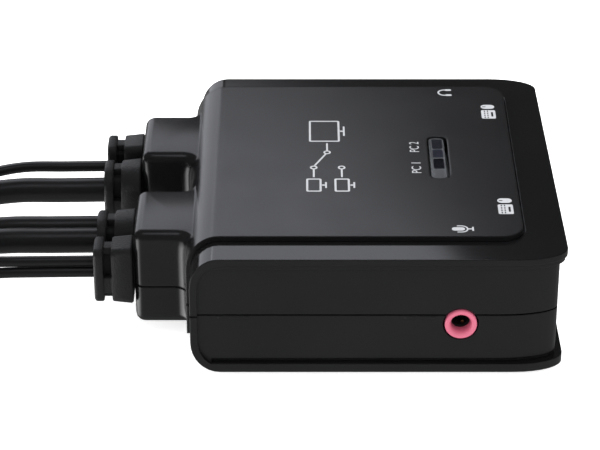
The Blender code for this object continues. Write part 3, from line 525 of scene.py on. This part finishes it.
# Heights of the prints in millimetres: on the panel, and just over another print.
PRINT_LOW, PRINT_OVER, PRINT_OVER_TWICE = 26.6, 26.603, 26.604
LABEL_LOW, LABEL_LONG, LABEL_HIGH, LABEL_THICK = 26.61, 4.2, 1.9, 0.008
LINE, THIN_LINE = 0.36, 0.3


def stroke(points, wide=LINE):
    """The outline of a line of an even width through points."""
    sides = []
    for sign in (1, -1):
        edge = []
        for i, (u, v) in enumerate(points):
            (a, b), (c, d) = points[max(0, i - 1)], points[min(len(points) - 1, i + 1)]
            length = math.hypot(c - a, d - b)
            edge.append((u - sign * (d - b) / length * wide / 2, v + sign * (c - a) / length * wide / 2))
        sides.append(edge)
    return sides[0] + sides[1][::-1]


def arc(u, v, radius, start, end, count=24):
    angles = [math.radians(start + (end - start) * i / count) for i in range(count + 1)]
    return [(u + radius * math.cos(a), v + radius * math.sin(a)) for a in angles]


def stamp(name, outlines, x, y, low=PRINT_LOW, finish="print_white", body="housing", slot="natural_white"):
    """Print that reads from the housing's right end: u runs to the rear and v to the left, in millimetres."""
    turned = [[((x - v) * MM, (y + u) * MM) for u, v in outline] for outline in outlines]
    made = ribbon(name, turned, low * MM)
    bpy.context.view_layer.update()
    flat = bpy.data.objects.new(f"{name}_print", bpy.data.meshes.new_from_object(made))
    flat.location = made.location
    bpy.context.scene.collection.objects.link(flat)
    bpy.data.objects.remove(made)
    dress(flat, finish, body)


def make_label(text, x, y):
    """Generic socket numbering in plain capitals."""
    font = bpy.data.curves.new(text, "FONT")
    font.body, font.extrude = text, LABEL_THICK
    made = bpy.data.objects.new(text, font)
    bpy.context.scene.collection.objects.link(made)
    bpy.context.view_layer.update()
    mesh = bpy.data.meshes.new_from_object(made)
    bpy.data.objects.remove(made)
    us, vs = [p.co.x for p in mesh.vertices], [p.co.y for p in mesh.vertices]
    for p in mesh.vertices:
        u = (p.co.x - (min(us) + max(us)) / 2) / (max(us) - min(us)) * LABEL_LONG
        v = (p.co.y - (min(vs) + max(vs)) / 2) / (max(vs) - min(vs)) * LABEL_HIGH
        p.co = ((x - v) * MM, (y + u) * MM, LABEL_LOW * MM + p.co.z * MM)
    label = bpy.data.objects.new("label_" + text.replace(" ", "_"), mesh)
    bpy.context.scene.collection.objects.link(label)
    dress(label, "print_white")


def make_headphones(x, y):
    stamp("headband", [stroke(arc(0, 0.1, 1.2, -25, 205))], x, y)
    for i, u in enumerate((-1.15, 1.15)):
        stamp(f"earcup_{i}", [rounded_box(u, -0.75, 0.72, 1.35, 0.3)], x, y, PRINT_OVER_TWICE)


def make_microphone(x, y):
    stamp("microphone", [rounded_box(0, 0.75, 1.25, 2.5, 0.62, 8)], x, y)
    yoke = [(-1.15, 1.0), *arc(0, 0.15, 1.15, 180, 360), (1.15, 1.0)]
    stamp("microphone_yoke", [stroke(yoke, THIN_LINE)], x, y)
    stamp("microphone_stand", [stroke([(0, -0.95), (0, -1.9)])], x, y, PRINT_OVER)
    stamp("microphone_base", [rounded_box(0, -2.0, 1.5, 0.34, 0.12)], x, y, PRINT_OVER_TWICE)


def make_keyboard_and_mouse(i, x, y):
    keys = [
        rounded_box(-2.5 + 0.9 * column, 0.75 - 0.62 * row, 0.55, 0.26, 0.06)
        for column in range(4)
        for row in range(2)
    ]
    space_bar = rounded_box(-1.2, -0.75, 1.9, 0.42, 0.08)
    stamp(f"keyboard_{i}", [rounded_box(-1.2, 0, 3.7, 2.9, 0.35), *keys, space_bar], x, y)
    wheel = rounded_box(2.15, 0.75, 0.3, 0.75, 0.14)
    stamp(f"mouse_{i}", [rounded_box(2.15, 0, 1.75, 2.8, 0.86, 8), wheel], x, y)


def make_screen(name, x, y, u, v, wide, high):
    frame_lines = [rounded_box(u, v, wide, high, 0.4), rounded_box(u, v, wide - 0.8, high - 0.8, 0.2)]
    stamp(name, frame_lines, x, y)
    under = v - high / 2
    neck = rounded_box(u, under - 0.36, 0.5, 0.6, 0.05)
    stamp(f"{name}_foot", [rounded_box(u, under - 0.85, wide * 0.45, LINE, 0.1), neck], x, y)


def make_pictogram(x, y):
    """Line drawing of what the switch does: two computers, a change-over contact, and one screen."""
    make_screen("shared_screen", x, y, 10.4, 0.9, 9.0, 6.2)
    make_screen("computer_1", x, y, -12.0, 3.1, 5.2, 3.0)
    make_screen("computer_2", x, y, -12.0, -2.4, 5.2, 3.0)
    stamp("wire_1", [stroke([(-8.8, 3.1), (-5.6, 3.1)])], x, y)
    stamp("wire_2", [stroke([(-8.8, -2.4), (-5.6, -2.4)])], x, y)
    for i, (u, v) in enumerate(((-4.9, 3.1), (-4.9, -2.4), (1.4, 0.4))):
        stamp(f"contact_{i}", [circle(u, v, 0.75, 24), circle(u, v, 0.4, 24)], x, y)
    stamp("lever", [stroke([(0.8, 0.65), (-4.1, 2.9)])], x, y, PRINT_OVER)
    stamp("wire_3", [stroke([(2.15, 0.4), (5.2, 0.4)])], x, y)


def make_prints():
    make_label("PC 2", 17.6, 5.1)
    make_label("PC 1", 17.7, -3.6)
    make_headphones(24.9, 29.0)
    make_microphone(25.4, -27.6)
    make_keyboard_and_mouse(0, 33.4, 20.4)
    make_keyboard_and_mouse(1, 34.1, -18.9)
    make_pictogram(0.6, 1.4)


WINDOW_X, WINDOW_Y, WINDOW_TOP = 22.1, 0.8, 26.38
# The cells in the clear button's face, from front to rear: where each starts and ends, and its finish; the
# pale front part of each glassy cell is a painted highlight.
WINDOW_CELLS = (
    (-7.75, -4.6, "cell_rim"),
    (-4.45, -0.15, "cell_dark"),
    (0.15, 3.7, "cell_pale"),
    (3.85, 7.9, "cell_dark"),
)


def make_window():
    """The clear button's face: a pale edge round four cells, over the two lamps; the pale edge and the pale
    cells are painted highlights.
    """
    frame_lines = [rounded_box(0, 0, 16.5, 2.84, 1.12, 8), rounded_box(0.1, -0.14, 15.8, 2.2, 0.85, 8)]
    here = WINDOW_X, WINDOW_Y, WINDOW_TOP
    stamp("window_edge", frame_lines, *here, "cell_rim", "button", "smoked_clear")
    for i, (low, high, finish) in enumerate(WINDOW_CELLS):
        cell = [rounded_box((low + high) / 2, -0.14, high - low, 2.1, 0.35, 5)]
        stamp(f"window_cell_{i}", cell, *here, finish, "button", "smoked_clear")


# ---------------------------------------------------- plugs, ties, latches

# Where each plug's back is, in millimetres. The flat plug on a hank's inner side points away from the switch,
# and the one on its outer side points back.
INNER_BACK, OUTER_BACK, MIC_BACK, SPEAKER_BACK = -154, -186, -184, -176
HANK_Y, INNER_Y, OUTER_Y = 23.5, 12.5, 34.5
USB_Z, VIDEO_Z, MIC_Z, SPEAKER_Z, GRIP_LOW = 24.7, 26.2, 4.35, 13.15, 20.7
# A flat plug's ribs and an audio plug's ridges: how far the first is from the plug's back, and their spacing.
FIRST_RIB, FIRST_RIDGE, RIB_PITCH = 14.5, 10.5, 2.2
RIB_HALF, RIB_INSET = 0.55, 3.5
# A flat plug's grip: its width and height, and how far from its back its shell starts.
GRIPS = {"video": (20, 11, 31), "usb": (15.5, 8, 28)}
# A flat plug's shell: its thickness, and its windows' half size, distance from its start and offset sideways.
SHELL_THICK, WINDOW_HALF, WINDOW_ALONG, WINDOW_OFFSET = 4.5, {"video": 0.7, "usb": 1.1}, 7.5, 2.9
# An audio plug's pin: distances from its back and radii of the shaft, the pointed end and the dark bands.
SHAFT, POINT = ((21.2, 1.76), (32.4, 1.76)), ((32.8, 1.72), (34.9, 0.6))
BANDS, BAND_RADIUS, BAND_HALF = (24.5, 28.3), 1.78, 0.3


def make_flat_plug(pc, kind, heading, back, y):
    """Ribs across a flat plug's grip, and two dark patches on its shell for its windows, whose black is
    painted shade.
    """
    wide, high, end = GRIPS[kind]
    top = GRIP_LOW + high
    for i in range(5):
        along = back + heading * (FIRST_RIB + RIB_PITCH * i)
        low = along - RIB_HALF, y - wide / 2 + RIB_INSET, top - 0.4
        up = along + RIB_HALF, y + wide / 2 - RIB_INSET, top + 0.35
        dress(slab(f"{pc}_{kind}_rib_{i}", low, up, 0.3), "plug_black")
    shell_top = GRIP_LOW + high / 2 + SHELL_THICK / 2
    along, size = back + heading * (end + WINDOW_ALONG), WINDOW_HALF[kind]
    # The windows are not cut: dark slabs lie on the shell, painted shade where the holes would be.
    for i, offset in enumerate((-WINDOW_OFFSET, WINDOW_OFFSET)):
        low = along - size, y + offset - size, shell_top - 0.2
        up = along + size, y + offset + size, shell_top + 0.03
        dress(slab(f"{pc}_{kind}_shell_window_{i}", low, up, 0.1), "bore_black")


def make_audio_plug(pc, kind, heading, back, y, z):
    """Ridges round an audio plug's grip, its pin with a pointed end, and two dark bands round the pin."""

    def turned(name, profile):
        rings = turned_rings((y * MM, z * MM), [(w * MM, radius * MM) for w, radius in profile], "X")
        return mesh_piece(f"{pc}_{kind}_{name}", *loft_data(rings))

    for i in range(4):
        w = back + heading * (FIRST_RIDGE + RIB_PITCH * i)
        ridge = ((w - 0.5, 4.2), (w - 0.3, 4.24), (w + 0.3, 4.24), (w + 0.5, 4.2))
        dress(turned(f"ridge_{i}", ridge), "cord_jacket")
    for i, part in enumerate((SHAFT, POINT)):
        profile = sorted((back + heading * place, radius) for place, radius in part)
        dress(turned(f"pin_{i}", profile), "contact_gold")
    for i, place in enumerate(BANDS):
        w = back + heading * place
        band = (w - BAND_HALF, BAND_RADIUS), (w + BAND_HALF, BAND_RADIUS)
        dress(turned(f"band_{i}", band), "bore_black")


def make_plug_details():
    for side, pc, inner, outer in ((-1, "pc1", "video", "usb"), (1, "pc2", "usb", "video")):
        make_flat_plug(pc, inner, -1, INNER_BACK, side * INNER_Y)
        make_flat_plug(pc, outer, 1, OUTER_BACK, side * OUTER_Y)
        make_audio_plug(pc, "mic", 1, MIC_BACK, side * HANK_Y, MIC_Z)
        make_audio_plug(pc, "speaker", -1, SPEAKER_BACK, side * HANK_Y, SPEAKER_Z)


# The strap round a hank: its edges along X, its middle's height, and the width, height and corner radius of
# its outside and of its inside, in millimetres.
TIE_LEFT, TIE_RIGHT, TIE_MIDDLE = -142.5, -130.5, 10.4
TIE_OUTSIDE, TIE_INSIDE = (47.6, 20.76, 4), (46.6, 19.9, 3.6)


def make_ties():
    """A hook-and-loop strap round each hank, near the switch, with its free end laid over itself."""
    for side, pc in ((-1, "pc1"), (1, "pc2")):
        y = side * HANK_Y
        outer, inner = (
            [(u * MM, v * MM) for u, v in rounded_box(y, TIE_MIDDLE, *size, 8)]
            for size in (TIE_OUTSIDE, TIE_INSIDE)
        )
        inside = along_x(inner, (TIE_LEFT, TIE_RIGHT))
        rings = [*along_x(outer, (TIE_LEFT,)), *inside, *along_x(outer, (TIE_RIGHT,))]
        dress(mesh_piece(f"tie_{pc}", *closed_loft(rings)), "woven_tie")
        low, up = (TIE_LEFT + 0.3, y - 9, 20.7), (TIE_RIGHT - 0.3, y + 11, 21.5)
        dress(slab(f"tie_end_{pc}", low, up, 1.2), "woven_tie")


LATCHES, LATCH_Z, LATCH_DEPTHS = ((-20.6, -14.8), (14.5, 20.3)), 12.55 * MM, (36.4, 36.64)


def make_latches():
    """Latches that show in the parting between the shells, on the front and rear walls."""
    for side in (-1, 1):
        for i, (left, right) in enumerate(LATCHES):
            size = (right - left) * MM, 0.6 * MM
            outline = rounded_box((left + right) / 2 * MM, LATCH_Z, *size, 0.1 * MM, 3)
            rings = [[on_axis("Y", u, v, side * w * MM) for u, v in outline] for w in LATCH_DEPTHS]
            dress(mesh_piece(f"latch_{side}_{i}", *loft_data(rings)), "gloss_black")


# ---------------------------------------------------- camera, floor, light

CAMERA_PLACE, CAMERA_TILT, LENS = (-5.2 * MM, -429.85 * MM, 259.7 * MM), 60, 148.08
FLOOR_HALF, FLOOR_LOW = 4.0, -0.02 * MM
LIGHT_TABLE = 0.7  # the floor's own light, so that only a faint contact shadow stays
DOME = 2.0  # the dome's strength for everything but reflections
LIGHT_COLOR = (0.96, 0.975, 1.06)
# Each light's place, the point it looks at, its size and its power.
LIGHTS = {
    "softbox": ((-0.15, 0.7, 0.61), (-0.115, 0.0, 0.61), 0.514, 0.86),
    "low_back_left": ((-0.42, 0.72, 0.2), (-0.02, 0, 0.02), 0.56, 0.9),
    "overhead": ((-0.05, -0.25, 0.8), (0, 0, 0.02), 0.3, 0.3),
}


def make_camera():
    data = bpy.data.cameras.new("camera")
    data.sensor_width, data.lens, data.clip_start, data.clip_end = 36.0, LENS, 0.01, 20.0
    camera = bpy.data.objects.new("camera", data)
    camera.location = CAMERA_PLACE
    camera.rotation_euler = (math.radians(CAMERA_TILT), 0, 0)
    bpy.context.scene.collection.objects.link(camera)
    bpy.context.scene.camera = camera


def make_floor():
    corners = [(FLOOR_HALF * a, FLOOR_HALF * b, 0) for a, b in ((-1, -1), (1, -1), (1, 1), (-1, 1))]
    floor = mesh_piece("floor", corners, [(0, 1, 2, 3)])
    made = Shader("floor_paper", (0.93, 0.93, 0.93), 0.9, specular=0.0)
    made.mottle(made.noise(60 * MM, 3.0), 1.0, 0.99)
    made.set("Emission Color", (1.0, 1.0, 1.0, 1.0))
    made.set("Emission Strength", LIGHT_TABLE)
    floor.data.materials.append(made.material)
    floor.location.z = FLOOR_LOW
    floor.visible_glossy = False


def make_world():
    """A bright dome for soft shade; in reflections it is a dark studio with a pale floor."""
    world = bpy.data.worlds.new("studio")
    bpy.context.scene.world = world
    world.use_nodes = True
    tree = world.node_tree
    tree.nodes.clear()

    def wire(source, target):
        tree.links.new(source, target)

    output, background = tree.nodes.new("ShaderNodeOutputWorld"), tree.nodes.new("ShaderNodeBackground")
    wire(background.outputs[0], output.inputs[0])
    place, split = tree.nodes.new("ShaderNodeTexCoord"), tree.nodes.new("ShaderNodeSeparateXYZ")
    wire(place.outputs["Generated"], split.inputs[0])
    # A pale stretch of floor at the left is added to the rest. The upright corners on that side pick it up.
    glow = tree.nodes.new("ShaderNodeMath")
    glow.operation = "MULTIPLY_ADD"
    wire(map_range(tree, split.outputs["X"], -0.6, -0.85, 0.0, 4.5), glow.inputs[0])
    wire(map_range(tree, split.outputs["Z"], 0.0, -0.4, 0.0, 1.0), glow.inputs[1])
    wire(map_range(tree, split.outputs["Z"], -0.25, 0.1, 0.34, 0.06), glow.inputs[2])
    path, mix = tree.nodes.new("ShaderNodeLightPath"), tree.nodes.new("ShaderNodeMix")
    wire(path.outputs["Is Glossy Ray"], mix.inputs[MIX_FACTOR])
    mix.inputs[MIX_NUMBER_A].default_value = DOME
    wire(glow.outputs[0], mix.inputs[MIX_NUMBER_B])
    wire(mix.outputs[0], background.inputs["Strength"])


def make_light(name, place, towards, size, power):
    data = bpy.data.lights.new(name, "AREA")
    data.shape, data.size, data.energy, data.color = "DISK", size, power, LIGHT_COLOR
    light = bpy.data.objects.new(name, data)
    light.location = Vector(place)
    light.rotation_euler = (Vector(towards) - Vector(place)).to_track_quat("-Z", "Y").to_euler()
    bpy.context.scene.collection.objects.link(light)


# ------------------------------------------------------------------ cords

# Where each cord runs, from its strain relief to its hank: X, Y and Z in millimetres.
ROUTES = {
    "pc1_usb": [
        (-45.2, -6.5, 15), (-54, -6.5, 14.9), (-63, -6.5, 14.8), (-72, -6.1, 13.5), (-81, -5.1, 10.4),
        (-90, -4, 6.6), (-99, -3, 3.5), (-108, -2.6, 2.15),
    ],
    "pc1_video": [
        (-45.2, -11.4, 14.7), (-54, -11.4, 14.6), (-63, -11.4, 14.5), (-71, -11, 13.3), (-79, -10.1, 10.3),
        (-87, -9, 6.7), (-95, -8.1, 3.9), (-103.5, -7.65, 2.55),
    ],
    "pc1_speaker": [
        (-45.2, -20.2, 15.2), (-54, -20.2, 15.1), (-63, -20.2, 15), (-71, -17.8, 13.5), (-79, -15.1, 10.1),
        (-87, -13, 6), (-95, -11.7, 2.5), (-103, -11.3, 1.1),
    ],
    "pc1_mic": [
        (-45.2, -20.6, 13), (-54, -20.6, 12.9), (-63, -20.6, 12.7), (-71, -19.8, 11.4), (-78.5, -18.1, 8.5),
        (-86, -16.1, 5.1), (-93.5, -14.5, 2.3), (-101, -13.8, 1.1),
    ],
    "pc2_video": [
        (-45.2, 9.2, 14.55), (-54, 9.2, 14.4), (-63, 9.2, 14.3), (-72, 8.5, 13.1), (-81, 6.9, 10.1),
        (-90, 5.1, 6.6), (-99, 3.5, 3.7), (-107.5, 2.9, 2.55),
    ],
    "pc2_usb": [
        (-45.2, 13.5, 12), (-54, 13.5, 11.9), (-63, 13.5, 11.8), (-71, 13, 10.8), (-79.5, 11.6, 8.4),
        (-88, 9.9, 5.5), (-96, 8.6, 3.2), (-104.5, 8, 2.15),
    ],
    "pc2_speaker": [
        (-45.2, 20.4, 13.8), (-54, 20.4, 13.7), (-63, 20.4, 13.5), (-71, 18.8, 12.3), (-79, 16.3, 9.3),
        (-87, 13.9, 5.5), (-95, 12.1, 2.4), (-103, 11.4, 1.1),
    ],
    "pc2_mic": [
        (-45.2, 22.75, 12.7), (-54, 22.75, 12.6), (-63, 22.75, 12.4), (-71, 21.7, 11.1), (-78.5, 19.5, 8.3),
        (-86, 16.9, 5), (-93.5, 14.75, 2.3), (-101, 13.85, 1.1),
    ],
}
DIAMETERS = {"video": 5.0, "usb": 4.2, "speaker": 2.1, "mic": 2.1}
NEAR, FAR = -124.0, -216.0
# Cords wider than THICK are the video and USB ones; turns on each other are a gap apart. A cord's points are
# about STEP apart, and PLUG_STEP near its plug. It starts INTO_RELIEF inside its strain relief.
THICK, THICK_GAP, THIN_GAP = 3.0, 0.1, 0.05
STEP, PLUG_STEP, INTO_RELIEF = 4.0, 3.0, 1.4
# Turns round the hank, height of the first turn over the near end, and the place of the plug's back.
WINDING = {
    "pc1_usb": (3.5, 7.25, (OUTER_BACK, -OUTER_Y, USB_Z)),
    "pc1_video": (4, 7.65, (INNER_BACK, -INNER_Y, VIDEO_Z)),
    "pc1_speaker": (4, 3.35, (SPEAKER_BACK, -HANK_Y, SPEAKER_Z)),
    "pc1_mic": (4.5, 3.25, (MIC_BACK, -HANK_Y, MIC_Z)),
    "pc2_video": (3.5, 7.65, (OUTER_BACK, OUTER_Y, VIDEO_Z)),
    "pc2_usb": (4, 6.5, (INNER_BACK, INNER_Y, USB_Z)),
    "pc2_speaker": (4, 3.35, (SPEAKER_BACK, HANK_Y, SPEAKER_Z)),
    "pc2_mic": (4.5, 3.25, (MIC_BACK, HANK_Y, MIC_Z)),
}
# Shares of a turn: where a cord starts to climb over those that come in, how long it climbs, and how long it
# then takes to come down.
CLIMB_FROM, CLIMB_LONG, DOWN_LONG = 0.56, 0.24, 0.16
# The share of its way to its plug where a cord starts and stops to move sideways, and the same for upwards.
APPROACH = {
    "video": ((0, 1), (0, 1)),
    "usb": ((0, 1), (0, 1)),
    "speaker": ((0.3, 1), (0, 0.55)),
    "mic": ((0, 0.85), (0.3, 1)),
}


def ease(t):
    """0 to 1 with a soft start and end, while t goes from 0 to 1."""
    t = min(1.0, max(0.0, t))
    return t * t * (3 - 2 * t)


def catmull(points, per_span):
    """A smooth line through points."""
    ends = [2 * points[0] - points[1], *points, 2 * points[-1] - points[-2]]
    line = []
    for a, b, c, d in zip(ends, ends[1:], ends[2:], ends[3:]):
        for t in (step / per_span for step in range(per_span)):
            curved = (2 * a - 5 * b + 4 * c - d) * t**2 + (3 * b - a - 3 * c + d) * t**3
            line.append(0.5 * (2 * b + (c - a) * t + curved))
    return [*line, points[-1]]


def place_on_lap(along, radius, run, bend):
    """X, and the offset from the hank's middle line, after a way along one turn from its near end."""
    if along < run:
        return NEAR - along, radius
    if along < run + bend:
        turn = (along - run) / radius
        return FAR - radius * math.sin(turn), radius * math.cos(turn)
    if along < 2 * run + bend:
        return FAR + (along - run - bend), -radius
    turn = (along - 2 * run - bend) / radius
    return NEAR + radius * math.sin(turn), -radius * math.cos(turn)


def height_on_lap(share, lap_number, floor, first_over, pitch):
    """Each turn lies on the one below, and rises before the near end to pass over the cords that come in."""
    level, over = floor + pitch * lap_number, first_over + pitch * lap_number
    if share > DOWN_LONG:
        return level + (over - level) * ease((share - CLIMB_FROM) / CLIMB_LONG)
    if lap_number:
        return level + (over - pitch - level) * (1 - ease(share / DOWN_LONG))
    return level


def winding(name):
    """Points of a cord's turns round its hank and of its way to its plug, in millimetres."""
    pc, kind = name.split("_")
    side = -1 if pc == "pc1" else 1
    diameter = DIAMETERS[kind]
    _, start_y, floor = ROUTES[name][-1]
    radius = HANK_Y - abs(start_y)
    turns, first_over, plug = WINDING[name]
    pitch = diameter + (THICK_GAP if diameter > THICK else THIN_GAP)
    run, bend = NEAR - FAR, math.pi * radius
    lap = 2 * (run + bend)
    total = turns * lap
    points = []
    steps = round(total / STEP)
    for step in range(steps + 1):
        travelled = total * step / steps
        lap_number = int(travelled / lap)
        along = travelled - lap_number * lap
        x, offset = place_on_lap(along, radius, run, bend)
        z = height_on_lap(along / lap, lap_number, floor, first_over, pitch)
        points.append(Vector((x, side * (HANK_Y - offset), z)))
    if turns % 1 and diameter > THICK:
        # The last half turn climbs, so that the cord comes up to its plug without a sharp bend.
        climb = (plug[2] - points[-1].z) / 2
        for step, point in enumerate(points):
            point.z += climb * ease((total * step / steps - total + bend) / bend)
    start = points[-1]
    way = Vector(plug) - start
    count = max(6, round(abs(way.x) / PLUG_STEP))
    for t in (step / count for step in range(1, count + 1)):
        sideways, upwards = (ease((t - first) / (last - first)) for first, last in APPROACH[kind])
        points.append(start + Vector((way.x * t, way.y * sideways, way.z * upwards)))
    return points


def make_cord(name):
    """A cord from inside its relief, down its route, round its hank and to its plug."""
    lead = catmull([Vector(point) for point in ROUTES[name]], 6)
    turns = winding(name)
    count = max(2, round((turns[0] - lead[-1]).length / STEP))
    between = [lead[-1].lerp(turns[0], step / count) for step in range(1, count)]
    line = [lead[0] + Vector((INTO_RELIEF, 0, 0)), *lead, *between, *turns]
    curve = bpy.data.curves.new(f"{name}_cord", "CURVE")
    curve.dimensions = "3D"
    curve.bevel_depth = DIAMETERS[name.split("_")[1]] / 2 * MM
    curve.bevel_resolution = 4
    curve.use_fill_caps = True
    spline = curve.splines.new("POLY")
    spline.points.add(len(line) - 1)
    for knot, place in zip(spline.points, line):
        knot.co = (*(place * MM), 1.0)
    made = bpy.data.objects.new(f"{name}_cord", curve)
    bpy.context.scene.collection.objects.link(made)
    dress(made, "cord_jacket")
    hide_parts(f"cord_{name}")
    return made


def make_cords():
    cords = {name: make_cord(name) for name in ROUTES}
    for pc in ("pc1", "pc2"):
        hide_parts(f"hank_{pc}")


# -------------------------------------------------------------------- all


def dress_cad():
    """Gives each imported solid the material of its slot, and smooth shading."""
    slots = {entry["node"]: entry["material_slot"] for entry in frame["record"]["subparts"]}
    for solid in nodes.values():
        smooth_cad(solid)
        for holder in solid.material_slots:
            holder.material = M[slots[solid.name]]


dress_cad()
for relief, (middle, width, neck_middle) in RELIEFS.items():
    make_strain_relief(relief, middle * MM, width * MM, neck_middle * MM)
make_jack_ring("mic", -1, "socket_pink")
make_jack_ring("headphone", 1, "socket_green")
make_socket_contacts()
make_prints()
make_window()
make_plug_details()
make_ties()
make_latches()
make_camera()
make_floor()
make_world()
for light_name, setting in LIGHTS.items():
    make_light(light_name, *setting)
make_cords()

bpy.context.scene.view_settings.view_transform = "Standard"
